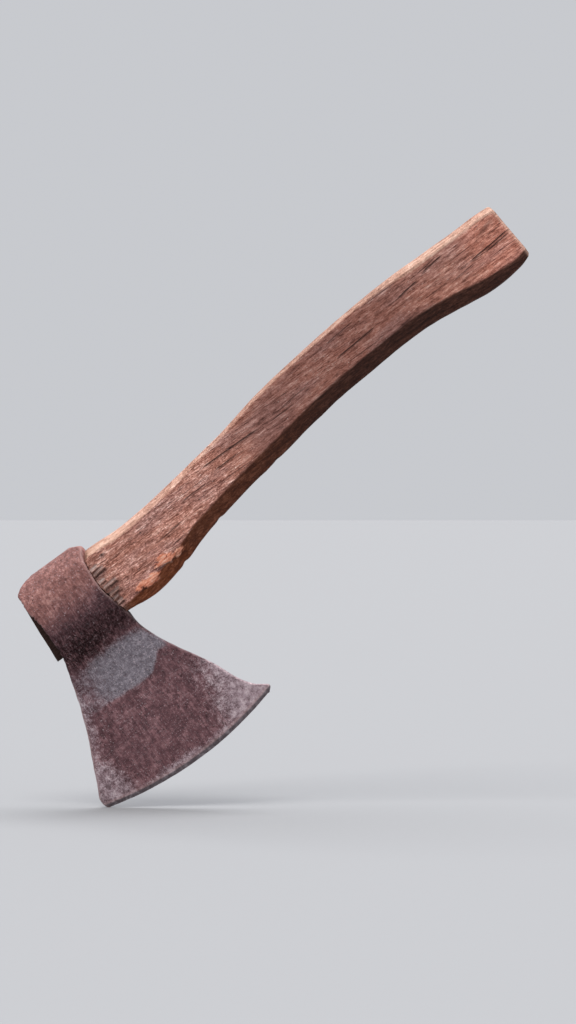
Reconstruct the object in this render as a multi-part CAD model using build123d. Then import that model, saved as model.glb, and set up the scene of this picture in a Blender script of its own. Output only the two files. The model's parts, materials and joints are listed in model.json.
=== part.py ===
"""A small forged hatchet: a wrapped-eye head on a faceted wooden handle, held by two wedges.

Millimetres. Everything is first made level: +X runs along the handle away from the head, +Z from
the cutting edge towards the back of the eye, and Y across the thickness, with the origin at the
middle of the eye's handle-side rim. It is then moved so that the middle of the cutting edge is the
origin, and tilted so that the handle rises at HANDLE_RISE_DEG, as when the blade stands in a block.
"""

import os
from math import atan2, degrees, hypot, radians, tan

from build123d import *

# Pose
HANDLE_RISE_DEG = 36.0  # the handle's rise above level where it leaves the eye

# Eye of the head
NEAR_RIM_TOP = (-0.3, 24.3)  # the near rim faces the handle, and is hollowed between its corners
NEAR_RIM_HOLLOW = (-3.7, -4.0)
FAR_RIM_TOP = (-47.7, 17.0)
FAR_RIM_HOLLOW = (-46.6, -6.0)
EYE_BACK = 26.6  # back of the eye above the handle's axis
EYE_HALF_WIDTH = 17.0
EYE_WIDEST = 6.0  # height of the widest line of the eye
EYE_TOP_LINE = EYE_BACK + 0.4  # just clear of the rounded back, where only the corners are cut
HOLE_BACK = 21.2
HOLE_HALF_WIDTH = 12.5
HOLE_FRONT = -25.6
HOLE_TIP_RADIUS = 2.4

# Blade
EDGE_MIDDLE = (-18.5, -124.0)
EDGE_RADIUS = 241.0
EDGE_TOE = (-79.6, -115.6)
EDGE_HEEL = (41.4, -116.0)
EDGE_HALF_THICKNESS = 0.3
BEVEL_HALF_ANGLE_DEG = 22.0
NECK = -45.0  # where the cheeks have run out into the flat of the blade
NECK_HALF_THICKNESS = 5.0
BLADE_END = -128.0  # just past the edge, which the bevel cuts
BLADE_END_HALF_THICKNESS = 1.1
TOE_SIDE = [(-48.4, -28.0), (-52.6, -41.6), (-62.5, -69.0), (-77.4, -101.0), (-81.2, -110.0)]
HEEL_SIDE = [(43.6, -114.0), (36.8, -107.0), (22.6, -80.0), (4.4, -46.0), (0.6, -33.0), (0.4, -26.0)]

# Handle: where along X, its back and belly in Z, its thickness in Y, and how far the facets reach
# down from the back and up from the belly
HANDLE_STATIONS = [
    (-6.0, 19.4, -24.8, 28.0, 4.2, 2.6),
    (8.0, 19.0, -26.0, 27.8, 4.4, 4.6),
    (22.0, 18.3, -26.8, 27.2, 4.4, 7.4),
    (43.0, 19.6, -23.3, 26.2, 4.4, 8.8),
    (62.0, 21.8, -17.2, 25.2, 3.8, 9.3),
    (84.0, 24.8, -12.1, 24.4, 2.8, 9.3),
    (108.0, 28.3, -7.6, 24.0, 2.3, 9.3),
    (140.0, 34.9, -2.5, 23.8, 2.3, 9.3),
    (180.0, 40.0, 3.2, 23.6, 2.3, 9.3),
    (220.0, 43.6, 6.2, 23.8, 2.6, 9.3),
    (246.0, 45.0, 7.1, 24.2, 3.4, 9.3),
    (272.0, 44.9, 4.9, 24.9, 3.6, 8.9),
    (299.0, 44.8, 2.0, 25.8, 3.2, 7.4),
    (316.0, 44.9, 3.6, 26.2, 3.2, 5.0),
    (330.0, 43.9, 8.6, 26.2, 3.6, 3.2),
]
BACK_FACET_SLANT = 1.25  # how far a facet reaches across, as a share of its reach in Z
BELLY_FACET_SLANT = 0.86
BUTT_TOP = (322.6, 44.0)  # the sawn end runs through these two points
BUTT_BOTTOM = (325.2, 10.0)
BUTT_ROUNDING = 1.6
SHOULDER_END = 2.4  # the tenon's swollen wood ends this far outside the eye

# Tenon end: a slanting cut that stands out of the far rim
TENON_END_BACK = (-47.4, 18.5)
TENON_END_FRONT = (-51.7, -26.5)

WEDGES_STAND_OUT = 0.8  # beyond the tenon's cut end

# Wooden wedge, driven into a saw kerf along the tenon's length
WEDGE_OUTER_X = -54.0
WEDGE_TIP_X = -15.0
WEDGE_OUTER_THICKNESS = 5.6
WEDGE_TIP_THICKNESS = 1.4
KERF_BOTTOM_X = -9.0
KERF_THICKNESS = 1.2

# Steel wedge, driven across the wooden one
STEEL_OUTER_X = -54.0
STEEL_TIP_X = -34.0
STEEL_WIDTH = 15.0
STEEL_OUTER_THICKNESS = 3.4
STEEL_TIP_THICKNESS = 0.6
STEEL_HEIGHT = -5.0  # where it crosses the wooden wedge, in Z

REACH = 80.0  # longer than any part of the head is wide, for the solids that cut it
FAR_PAST_BUTT = 400.0
SIDE = Plane.XZ  # drawn with X to the right and Z up; its normal is -Y
ACROSS = Plane.YZ  # drawn with Y to the right and Z up; its normal is +X


def mirrored_face(half_outline):
    """The closed face on ACROSS of a half outline, in Y and Z, and its mirror image in Y."""
    edges = [ACROSS * edge for edge in half_outline]
    edges += [edge.mirror(Plane.XZ) for edge in edges]
    return make_face(edges)


def extruded_across(face, start_x, end_x):
    """The face on ACROSS drawn out along X from start_x to end_x."""
    return Pos(start_x, 0, 0) * extrude(face, amount=end_x - start_x, dir=(1, 0, 0))


def wedge_solid(outer_x, tip_x, outer_thickness, tip_thickness, width):
    """A wedge that tapers in Y from its outer end to its tip, and is as long as width in Z."""
    outline = Polyline(
        (outer_x, -outer_thickness / 2),
        (tip_x, -tip_thickness / 2),
        (tip_x, tip_thickness / 2),
        (outer_x, outer_thickness / 2),
        close=True,
    )
    return Pos(0, 0, -width / 2) * extrude(make_face(outline), amount=width)


def eye_hole(start_x, end_x):
    """The teardrop inside of the eye, which the tenon fills."""
    back = CenterArc((0, HOLE_BACK - HOLE_HALF_WIDTH), HOLE_HALF_WIDTH, 90, -90)
    front = CenterArc((0, HOLE_FRONT + HOLE_TIP_RADIUS), HOLE_TIP_RADIUS, -25, -65)
    side = Spline(back @ 1, front @ 0, tangents=[back % 1, front % 0], tangent_scalars=[1, 1])
    return extruded_across(mirrored_face([back, side, front]), start_x, end_x)


def head_thickness():
    """The head as seen along the handle, drawn out along X: round eye, hollow cheeks, thin blade."""
    back = Spline(
        (0, EYE_BACK),
        (EYE_HALF_WIDTH, EYE_WIDEST),
        tangents=[(1, 0), (0, -1)],
        tangent_scalars=[1.3, 1.3],
    )
    neck = (NECK_HALF_THICKNESS, NECK)
    blade_end = (BLADE_END_HALF_THICKNESS, BLADE_END)
    blade = Line(neck, blade_end)
    cheek = Spline(
        back @ 1,
        (15.8, -9.0),
        (11.4, -22.0),
        (7.2, -33.0),
        neck,
        tangents=[(0, -1), blade % 0],
    )
    end = Line(blade_end, (0, BLADE_END))
    return extruded_across(mirrored_face([back, cheek, blade, end]), -REACH - 20, REACH)


def near_rim():
    """The hollowed rim of the eye that faces the handle, as seen from the side."""
    return ThreePointArc(HEEL_SIDE[-1], NEAR_RIM_HOLLOW, NEAR_RIM_TOP)


def head_side():
    """The head as seen from the side, drawn out along Y."""
    toe_side = Spline(*TOE_SIDE)
    toe_corner = TangentArc(toe_side @ 1, EDGE_TOE, tangent=toe_side % 1)
    edge = ThreePointArc(EDGE_TOE, EDGE_MIDDLE, EDGE_HEEL)
    heel_corner = TangentArc(EDGE_HEEL, HEEL_SIDE[0], tangent=edge % 1)
    heel_side = Spline(*HEEL_SIDE)
    near_corner = Line(NEAR_RIM_TOP, (-5.0, EYE_TOP_LINE))
    back = Line(near_corner @ 1, (-34.0, EYE_TOP_LINE))
    far_corner = Spline(back @ 1, (-41.6, 24.8), (-46.4, 22.2), FAR_RIM_TOP)
    far_rim = ThreePointArc(FAR_RIM_TOP, FAR_RIM_HOLLOW, toe_side @ 0)
    edges = [toe_side, toe_corner, edge, heel_corner, heel_side, near_rim(), near_corner, back]
    face = make_face([SIDE * line for line in edges + [far_corner, far_rim]])
    return extrude(face, amount=REACH / 2, both=True)


def outside_the_eye():
    """All the room on the handle's side of the eye's near rim."""
    rim = near_rim()
    around = Polyline(
        rim @ 1,
        (NEAR_RIM_TOP[0], REACH),
        (FAR_PAST_BUTT, REACH),
        (FAR_PAST_BUTT, -REACH),
        (HEEL_SIDE[-1][0], -REACH),
        rim @ 0,
    )
    face = make_face([SIDE * rim, SIDE * around])
    return extrude(face, amount=REACH / 2, both=True)


def sharpened_disc():
    """A disc about the cutting edge's own centre, ground on both sides to the edge."""
    half_thickness_at_centre = EDGE_HALF_THICKNESS + EDGE_RADIUS * tan(radians(BEVEL_HALF_ANGLE_DEG))
    outline = Polyline(
        (0, -half_thickness_at_centre),
        (EDGE_RADIUS, -EDGE_HALF_THICKNESS),
        (EDGE_RADIUS, EDGE_HALF_THICKNESS),
        (0, half_thickness_at_centre),
        close=True,
    )
    disc = revolve(make_face(outline), axis=Axis.Y)
    return Pos(EDGE_MIDDLE[0], 0, EDGE_MIDDLE[1] + EDGE_RADIUS) * disc


def head_outside():
    """The head with its eye still filled."""
    return head_thickness() & head_side() & sharpened_disc()


def handle_section(x, back, belly, thickness, back_facet, belly_facet):
    """One eight-sided section of the handle."""
    half = thickness / 2
    back_half = half - back_facet * BACK_FACET_SLANT
    belly_half = half - belly_facet * BELLY_FACET_SLANT
    right = [
        (back_half, back),
        (half, back - back_facet),
        (half, belly + belly_facet),
        (belly_half, belly),
    ]
    left = [(-y, z) for y, z in reversed(right)]
    outline = [Vector(x, y, z) for y, z in right + left]
    return make_face(Polyline(*outline, close=True))


def cutting_box(through_a, through_b, beyond):
    """A box whose face stands on the line from a to b in X and Z, and which lies beyond it in X."""
    run = through_b[0] - through_a[0]
    rise = through_b[1] - through_a[1]
    length = 4 * hypot(run, rise)
    turn = degrees(atan2(run, rise))
    box = Box(REACH, REACH, length, align=(Align.MIN if beyond else Align.MAX, Align.CENTER, Align.CENTER))
    return Pos(through_a[0], 0, through_a[1]) * Rot(0, turn, 0) * box


def handle_grip():
    """The carved handle outside the head, cut square at the butt with its edges eased."""
    grip = loft([handle_section(*station) for station in HANDLE_STATIONS])
    grip -= cutting_box(BUTT_BOTTOM, BUTT_TOP, beyond=True)
    butt = grip.faces().sort_by(Axis.X)[-1]
    return chamfer(butt.edges(), BUTT_ROUNDING)


def beyond_tenon_end():
    """All the room past the tenon's slanting cut."""
    return cutting_box(TENON_END_FRONT, TENON_END_BACK, beyond=False)


def tenon():
    """The end of the handle that fills the eye, with its slanting cut."""
    return eye_hole(-REACH, SHOULDER_END) - beyond_tenon_end()


def kerf():
    """The saw cut that the wooden wedge spreads. It runs on past the wedge's tip."""
    thickness = [KERF_THICKNESS, KERF_THICKNESS]
    return wedge_solid(WEDGE_OUTER_X, KERF_BOTTOM_X, *thickness, REACH)


def wooden_wedge():
    """The wooden wedge, longer than the eye's hole, before the steel one is driven in."""
    sizes = (WEDGE_OUTER_THICKNESS, WEDGE_TIP_THICKNESS, REACH)
    wedge = wedge_solid(WEDGE_OUTER_X, WEDGE_TIP_X, *sizes)
    return wedge - Pos(-WEDGES_STAND_OUT, 0, 0) * beyond_tenon_end()


def steel_wedge():
    """The steel wedge: a wedge like the wooden one, turned a quarter so that it tapers in Z."""
    sizes = (STEEL_OUTER_THICKNESS, STEEL_TIP_THICKNESS, STEEL_WIDTH)
    wedge = Pos(0, 0, STEEL_HEIGHT) * Rot(90, 0, 0) * wedge_solid(STEEL_OUTER_X, STEEL_TIP_X, *sizes)
    return wedge - Pos(-WEDGES_STAND_OUT, 0, 0) * beyond_tenon_end()


def to_row_frame(shape):
    """Moves the middle of the cutting edge to the origin and raises the handle."""
    return Rot(0, -HANDLE_RISE_DEG, 0) * Pos(-EDGE_MIDDLE[0], 0, -EDGE_MIDDLE[1]) * shape


def hatchet():
    """Every piece by its name, in the level frame."""
    outside = head_outside()
    steel = steel_wedge()
    wood = (wooden_wedge() & eye_hole(-REACH, 0)) - steel
    handle = (handle_grip() & outside_the_eye()) + tenon()
    handle = handle - wooden_wedge() - kerf() - steel
    head = outside - eye_hole(-REACH, REACH)
    return {"axe_head": head, "handle": handle, "wooden_wedge": wood, "steel_wedge": steel}


os.makedirs("parts", exist_ok=True)
for name, shape in hatchet().items():
    placed = to_row_frame(shape)
    placed.label = name
    export_step(placed, f"parts/{name}.step")
    print(name, "solids", len(placed.solids()), "volume", round(placed.volume, 1))
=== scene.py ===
"""Looks for the hatchet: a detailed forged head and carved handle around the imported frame.

Shapes are worked out level, in millimetres: +x along the handle away from the head, +z from the
cutting edge towards the back of the eye, y across, with the origin at the middle of the eye's near
rim. to_row() then places them in the row frame, in metres.
"""

import json
import math

import bpy
import numpy as np
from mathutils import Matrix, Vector


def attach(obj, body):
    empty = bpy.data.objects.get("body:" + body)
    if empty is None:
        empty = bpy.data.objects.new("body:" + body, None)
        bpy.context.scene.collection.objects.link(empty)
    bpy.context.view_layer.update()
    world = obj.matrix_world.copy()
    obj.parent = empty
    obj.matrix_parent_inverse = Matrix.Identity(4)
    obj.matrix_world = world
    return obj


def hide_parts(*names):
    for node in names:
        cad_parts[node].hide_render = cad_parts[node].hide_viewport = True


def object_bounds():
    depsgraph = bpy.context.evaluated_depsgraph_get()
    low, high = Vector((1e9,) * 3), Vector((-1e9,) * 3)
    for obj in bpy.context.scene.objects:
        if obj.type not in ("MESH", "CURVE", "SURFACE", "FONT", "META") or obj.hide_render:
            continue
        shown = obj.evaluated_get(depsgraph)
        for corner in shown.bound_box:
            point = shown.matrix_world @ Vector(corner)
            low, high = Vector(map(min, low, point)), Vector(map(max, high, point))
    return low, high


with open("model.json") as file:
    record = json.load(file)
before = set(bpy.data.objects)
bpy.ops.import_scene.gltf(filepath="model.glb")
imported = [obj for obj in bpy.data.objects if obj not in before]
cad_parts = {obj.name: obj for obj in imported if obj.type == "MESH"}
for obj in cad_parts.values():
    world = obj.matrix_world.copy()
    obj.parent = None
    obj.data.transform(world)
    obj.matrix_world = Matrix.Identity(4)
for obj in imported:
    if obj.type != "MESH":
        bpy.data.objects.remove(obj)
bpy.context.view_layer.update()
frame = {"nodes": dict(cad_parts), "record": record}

MM = 0.001

# Place in the row frame: the cutting edge's middle is the origin
EDGE_MIDDLE = (-18.5, -124.0)
EDGE_AXIS = next(m["axis"] for m in frame["record"]["mounts"] if m["name"] == "bit_edge")
RISE = math.atan2(EDGE_AXIS[0], -EDGE_AXIS[2])

# Head
EDGE_RADIUS = 241.0
EDGE_HALF_THICKNESS = 0.3
BEVEL_SLOPE = math.tan(math.radians(22.0))
NECK = -45.0
EYE_WIDEST = 6.0
EYE_HALF_WIDTH = 17.0
EYE_BACK = 26.6
HOLE_HALF_WIDTH = 12.5
HOLE_BACK = 21.2
HOLE_FRONT = -25.6
SECTION_Z = [-128.0, NECK, -33.0, -22.0, -9.0, EYE_WIDEST]
SECTION_HALF = [1.1, 5.0, 7.2, 11.4, 15.8, EYE_HALF_WIDTH]
HOLE_Z = [HOLE_FRONT, -25.0, -22.0, -14.0, -4.0, EYE_WIDEST]
HOLE_HALF = [0.0, 1.6, 3.7, 7.7, 11.2, HOLE_HALF_WIDTH]
FAR_SIDE_Z = [-115.6, -113.5, -110.0, -101.0, -69.0, -41.6, -28.0, -6.0, 17.0, 22.2, 24.8, EYE_BACK]
FAR_SIDE_X = [-79.6, -80.9, -81.2, -77.4, -62.5, -52.6, -48.4, -46.6, -47.7, -46.4, -41.6, -35.5]
NEAR_SIDE_Z = [-116.0, -114.0, -107.0, -80.0, -46.0, -33.0, -26.0, -4.0, 18.0, 24.3, EYE_BACK]
NEAR_SIDE_X = [41.4, 43.6, 36.8, 22.6, 4.4, 0.6, 0.4, -3.7, -1.6, -0.3, -5.0]
EDGE_OFFSETS = [0.0, 0.12, 0.35, 0.7, 1.15, 1.8]  # columns that round the head's open edges
EDGE_ROUNDING = 1.15

# Handle: where along x, its back and belly, thickness, and the facets' reach from back and belly
STATIONS = np.array(
    [
        (-6.0, 19.4, -24.8, 28.0, 4.2, 2.6),
        (8.0, 19.2, -26.2, 27.8, 4.4, 4.6),
        (22.0, 18.3, -26.8, 27.2, 4.4, 7.4),
        (43.0, 19.6, -23.3, 26.2, 4.4, 8.8),
        (62.0, 21.8, -17.2, 25.2, 3.8, 9.3),
        (84.0, 24.8, -12.1, 24.4, 2.8, 9.3),
        (108.0, 28.3, -7.6, 24.0, 2.3, 9.3),
        (140.0, 34.9, -2.5, 23.8, 2.3, 9.3),
        (180.0, 40.0, 3.2, 23.6, 2.3, 9.3),
        (220.0, 43.6, 6.2, 23.8, 2.6, 9.3),
        (246.0, 45.0, 7.1, 24.2, 3.4, 9.3),
        (272.0, 44.9, 4.9, 24.9, 3.6, 8.9),
        (299.0, 44.8, 2.0, 25.8, 3.2, 7.4),
        (316.0, 44.9, 3.6, 26.2, 3.2, 5.0),
        (330.0, 43.9, 8.6, 26.2, 3.6, 3.2),
    ]
)
BACK_FACET_SLANT = 1.25
BELLY_FACET_SLANT = 0.86
BUTT_X = 324.0
BUTT_MIDDLE = 26.0
BUTT_TILT = -0.0765
TENON_END = (-49.6, -0.0956)  # where its slanting cut crosses z = 0, and the cut's fall in x over z
FACET_STEPS = [18, 10, 80, 20, 16, 20, 80, 10]  # back, then round by the far side to the near one
SHOWN_SIDE = -1.0

FLOOR_RADIUS = 60.0  # metres

# Cracks on the handle's shown side: from x, z to x, z, then width and depth
CRACKS = [
    (324.5, 26.3, 292.0, 23.6, 0.48, 0.9),
    (323.0, 24.2, 303.0, 22.9, 0.38, 0.5),
    (296.0, 21.6, 278.0, 20.4, 0.25, 0.3),
    (282.0, 37.2, 265.0, 35.2, 0.42, 0.6),
    (278.0, 38.6, 262.0, 36.4, 0.25, 0.35),
    (261.0, 33.5, 244.0, 31.6, 0.42, 0.55),
    (247.0, 17.6, 236.0, 16.8, 0.25, 0.3),
    (224.0, 25.9, 193.0, 23.8, 0.44, 0.6),
    (214.0, 36.4, 192.0, 34.6, 0.25, 0.3),
    (170.0, 21.0, 148.0, 19.4, 0.25, 0.3),
    (131.0, 17.6, 86.0, 18.3, 0.46, 0.7),
    (112.0, 12.8, 94.0, 12.4, 0.28, 0.4),
    (86.0, 9.0, 66.0, 8.6, 0.28, 0.4),
    (60.0, -1.0, 38.0, -2.4, 0.28, 0.4),
    (58.0, -8.6, 47.0, -9.0, 0.30, 0.4),
]
# Crushed notches at the rim: from x, z to x, z, then half width and depth
NOTCHES = [
    (-3.5, 2.0, 6.4, 3.6, 1.0, 1.9),
    (-3.4, 5.4, 3.0, 6.3, 0.5, 0.6),
    (-3.4, -3.4, 1.5, -3.0, 0.5, 0.7),
    (-3.2, -7.9, 9.6, -6.7, 1.1, 2.2),
    (-3.0, -12.9, 7.4, -12.4, 1.0, 1.9),
    (-3.0, -16.2, 3.5, -15.8, 0.5, 0.8),
    (-2.0, -19.6, 4.4, -19.0, 0.8, 1.3),
]
# Steps in the belly where the knife came out: x and depth
BELLY_NICKS = [(46.0, 0.9), (79.0, 0.7), (128.0, 0.4)]
# A small hole in the shown side: x and z
KNOT_HOLE = (8.4, 11.2)
# Fresh chips: middle x and z, half length, half width, and the side they are on
CHIPS = [
    (39.5, -13.6, 9.5, 2.6, SHOWN_SIDE),
    (21.6, -18.2, 7.5, 2.6, SHOWN_SIDE),
    (151.0, 8.6, 8.5, 2.2, -SHOWN_SIDE),
]
# A shallow hollow by the butt, with its shade painted dark: middle x and z, half length, half width
HOLLOW_SHADE = (313.0, 35.2, 8.0, 1.8)


# ---------------------------------------------------------------- shapes


def smooth_through(at, knots, values):
    """A smooth curve through values at rising knots, read at the places given."""
    knots = np.asarray(knots, float)
    values = np.asarray(values, float)
    at = np.clip(at, knots[0], knots[-1])
    slopes = np.gradient(values, knots)
    i = np.clip(np.searchsorted(knots, at) - 1, 0, len(knots) - 2)
    step = knots[i + 1] - knots[i]
    t = (at - knots[i]) / step
    rise = t * t * (3 - 2 * t)
    lead_in = t * (1 - t) ** 2 * step * slopes[i]
    lead_out = t * t * (t - 1) * step * slopes[i + 1]
    return values[i] + (values[i + 1] - values[i]) * rise + lead_in + lead_out


def smoothstep(low, high, value):
    t = np.clip((value - low) / (high - low), 0, 1)
    return t * t * (3 - 2 * t)


def lattice_noise(points, size, seed):
    """Smooth noise from -1 to 1 over points, with features about size long on each axis."""
    scaled = points / np.asarray(size, float) + 17.31 * seed
    cell = np.floor(scaled).astype(np.int64)
    t = scaled - cell
    t = t * t * (3 - 2 * t)
    total = np.zeros(len(points))
    for corner in range(8):
        offset = np.array([corner & 1, corner >> 1 & 1, corner >> 2 & 1])
        at = cell + offset
        code = at[:, 0] * 73856093 ^ at[:, 1] * 19349663 ^ at[:, 2] * 83492791 ^ seed * 2971215073
        code = (code ^ code >> 13) * 1274126177 & 0xFFFFFFFF
        code = (code ^ code >> 15) & 0xFFFF
        weight = np.prod(np.where(offset == 1, t, 1 - t), axis=1)
        total += weight * (code / 32767.5 - 1)
    return total


def fractal_noise(points, size, seed, octaves=3):
    size = np.asarray(size, float)
    layers = [lattice_noise(points, size / 2**k, seed + k) / 2**k for k in range(octaves)]
    return sum(layers) / (2 - 0.5 ** (octaves - 1))


def wander(along, size, seed, octaves=3):
    """Noise along one axis."""
    along = np.asarray(along, float)
    points = np.stack([along.ravel(), np.zeros(along.size), np.zeros(along.size)], axis=1)
    return fractal_noise(points, size, seed, octaves).reshape(along.shape)


def to_row(level):
    """Level millimetres to the row frame in metres."""
    x = level[:, 0] - EDGE_MIDDLE[0]
    z = level[:, 2] - EDGE_MIDDLE[1]
    c, s = math.cos(RISE), math.sin(RISE)
    return np.stack([x * c - z * s, level[:, 1], x * s + z * c], axis=1) * MM


def normals_of(vertices, quads):
    """A unit normal at each vertex of a closed mesh of quads."""
    a, b, c, d = (vertices[quads[:, k]] for k in range(4))
    facing = np.cross(c - a, d - b)
    normals = np.zeros_like(vertices)
    for k in range(4):
        np.add.at(normals, quads[:, k], facing)
    return normals / np.maximum(np.linalg.norm(normals, axis=1, keepdims=True), 1e-9)


def distance_to_segment(x, z, start_x, start_z, end_x, end_z):
    """Distance from points to a line, and how far along it they lie, from 0 to 1."""
    run = np.array([end_x - start_x, end_z - start_z])
    share = ((x - start_x) * run[0] + (z - start_z) * run[1]) / (run @ run)
    held = np.clip(share, 0, 1)
    return np.hypot(x - start_x - held * run[0], z - start_z - held * run[1]), share


def add_piece(name, level, faces, masks, node, material):
    """Makes a mesh of the shape, with its masks as point attributes, in place of a CAD node."""
    mesh = bpy.data.meshes.new(name)
    mesh.from_pydata(to_row(level).tolist(), [], faces)
    for mask_name, values in masks.items():
        layer = mesh.attributes.new(mask_name, "FLOAT", "POINT")
        layer.data.foreach_set("value", np.asarray(values, np.float32))
    mesh.update()
    mesh.shade_smooth()
    mesh.set_sharp_from_angle(angle=math.radians(60))
    mesh.materials.append(material)
    piece = bpy.data.objects.new(name, mesh)
    bpy.context.scene.collection.objects.link(piece)
    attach(piece, "root")
    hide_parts(node)
    return piece


# ---------------------------------------------------------------- head


def edge_z(x):
    """The height of the cutting edge's arc at x."""
    centre_z = EDGE_MIDDLE[1] + EDGE_RADIUS
    return centre_z - np.sqrt(EDGE_RADIUS**2 - (x - EDGE_MIDDLE[0]) ** 2)


def head_rows():
    """The head's half section in rows from the edge up to the back: how far down the blade each
    row lies (1 at the edge, 0 from the neck up), its height where that is 0, and its half widths
    outside and in the hole."""
    near_edge = np.array([0.0, 0.3, 0.8, 1.4, 2.1, 2.9, 3.7, 4.6]) / (NECK - EDGE_MIDDLE[1])
    blade = 1 - np.concatenate([near_edge, np.linspace(near_edge[-1], 1, 118)[1:-1]])
    solid_cheek = np.linspace(NECK, HOLE_FRONT, 28)
    cheek = np.concatenate([solid_cheek, np.linspace(HOLE_FRONT, EYE_WIDEST, 46)[1:]])
    turn = np.linspace(0, math.pi / 2, 42)[1:]
    down = np.concatenate([blade, np.zeros(len(cheek) + len(turn))])
    poll = EYE_WIDEST + (EYE_BACK - EYE_WIDEST) * np.sin(turn)
    height = np.concatenate([np.full(len(blade), NECK), cheek, poll])
    flat = len(blade) + len(cheek)
    half = smooth_through(height, SECTION_Z, SECTION_HALF)
    half[flat:] = EYE_HALF_WIDTH * np.cos(turn)
    hole_half = smooth_through(height, HOLE_Z, HOLE_HALF)
    hole_half[flat:] = HOLE_HALF_WIDTH * np.cos(turn)
    hole_height = height.copy()
    hole_height[flat:] = EYE_WIDEST + (HOLE_BACK - EYE_WIDEST) * np.sin(turn)
    tip_row = len(blade) + len(solid_cheek) - 1
    return down, height, half, hole_height, hole_half, tip_row


def side_x(z, knots_z, knots_x, seed, roughness):
    """One open side of the head at height z, with its nicks."""
    nicks = wander(z, 7.0, seed, 4) - 1.6 * np.maximum(0, wander(z, 3.1, seed + 7, 2) - 0.45)
    at_eye = smoothstep(-31, -25, z)
    bites = 6.5 * np.maximum(0, wander(z, 3.0, seed + 9, 3) - 0.05)
    return smooth_through(z, knots_z, knots_x) + roughness * (nicks + at_eye * bites)


def head_half():
    """Places for one half of the head, as rows by columns: x, half width and z."""
    down, height, half, hole_height, hole_half, tip_row = head_rows()
    offsets = np.array(EDGE_OFFSETS)
    inner_share = np.linspace(0, 1, 140)
    columns = 2 * (len(offsets) - 1) + len(inner_share)
    share = np.concatenate([np.zeros(len(offsets) - 1), inner_share, np.ones(len(offsets) - 1)])
    edge_x = FAR_SIDE_X[0] + share * (NEAR_SIDE_X[0] - FAR_SIDE_X[0])
    edge_nicks = 0.12 * wander(edge_x, 5.0, 41, 4) + 0.35 * np.maximum(0, wander(edge_x, 2.6, 47, 2) - 0.5)
    lowest = edge_z(edge_x) + edge_nicks
    z = height[:, None] + down[:, None] * (lowest - NECK)[None, :]
    far = side_x(z, FAR_SIDE_Z, FAR_SIDE_X, 51, 0.42)
    near = side_x(z, NEAR_SIDE_Z, NEAR_SIDE_X, 61, -0.18)
    from_far = np.concatenate([offsets[:-1], np.full(columns - len(offsets) + 1, offsets[-1])])
    from_near = from_far[::-1]
    x = (far + from_far) * (1 - share) + (near - from_near) * share
    ends = np.minimum(x - far, near - x)
    width = smooth_through(z, SECTION_Z, SECTION_HALF)
    width = np.where(down[:, None] > 0, width, half[:, None])
    from_arc = EDGE_RADIUS - np.hypot(x - EDGE_MIDDLE[0], z - EDGE_MIDDLE[1] - EDGE_RADIUS)
    width = np.minimum(width, EDGE_HALF_THICKNESS + np.maximum(from_arc, 0) * BEVEL_SLOPE)
    radius = np.minimum(EDGE_ROUNDING, 0.75 * np.maximum(width, 0.3))
    inside = np.clip(1 - ends / radius, 0, 1)
    pulled = radius * (1 - np.sqrt(1 - inside**2))
    turning = np.clip((height - EYE_WIDEST) / (EYE_BACK - EYE_WIDEST), 0, 1)[:, None]
    width = np.maximum(width - pulled * np.sqrt(1 - turning**2), 0)
    z = z - pulled * turning
    return x, width, z, hole_height, hole_half, tip_row


def strip(first, second):
    """Quads between two rows of vertex numbers."""
    return np.stack([first[:-1], first[1:], second[1:], second[:-1]], axis=1)


def head_mesh():
    """The head's vertices and quads: two sides, open edges, rims and the inside of the eye."""
    x, width, z, hole_height, hole_half, tip_row = head_half()
    rows, columns = x.shape
    top = rows - 1
    near_half = np.stack([x, width, z], axis=2)
    other_half = np.stack([x, -width, z], axis=2)[::-1][1:]
    grid = np.concatenate([near_half, other_half])
    last = len(grid) - 1
    number = np.arange(len(grid) * columns).reshape(len(grid), columns)
    vertices = [grid.reshape(-1, 3)]
    quads = [strip(number[i], number[i + 1]) for i in range(last)]
    quads.append(strip(number[last], number[0]))
    count = grid.shape[0] * columns
    loops = []
    for column, outwards in ((0, -1.0), (columns - 1, 1.0)):
        across = 4
        made = {}
        for i in range(tip_row + 1):
            a, b = grid[i, column], grid[last - i, column]
            between = []
            for k in range(1, across):
                share = k / across
                point = a * (1 - share) + b * share
                point[0] += outwards * min(0.4, 0.25 * a[1]) * 4 * share * (1 - share)
                between.append(point)
            vertices.append(np.array(between))
            made[i] = [number[i, column], *range(count, count + across - 1), number[last - i, column]]
            count += across - 1
        web = np.array([made[i] for i in range(tip_row + 1)])
        for k in range(across):
            flow = strip(web[:, k], web[:, k + 1])
            quads.append(flow if outwards < 0 else flow[:, ::-1])
        ring_rows = range(tip_row + 1, last - tip_row)
        hole = [web[-1, across // 2]]
        middle = [web[-1, 1]]
        for i in ring_rows:
            mirrored = min(i, last - i)
            side = 1.0 if i <= top else -1.0
            rim = grid[i, column]
            inner = np.array([rim[0], side * hole_half[mirrored], hole_height[mirrored]])
            vertices.append(np.array([(rim + inner) / 2, inner]))
            middle.append(count)
            hole.append(count + 1)
            count += 2
        middle.append(web[-1, across - 1])
        hole.append(web[-1, across // 2])
        outer = number[tip_row : last - tip_row + 1, column]
        for first, second in ((outer, np.array(middle)), (np.array(middle), np.array(hole))):
            flow = strip(first, second)
            quads.append(flow if outwards < 0 else flow[:, ::-1])
        loops.append(np.array(hole))
    quads.append(strip(loops[0], loops[1]))
    return np.concatenate(vertices), np.concatenate(quads)


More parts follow.
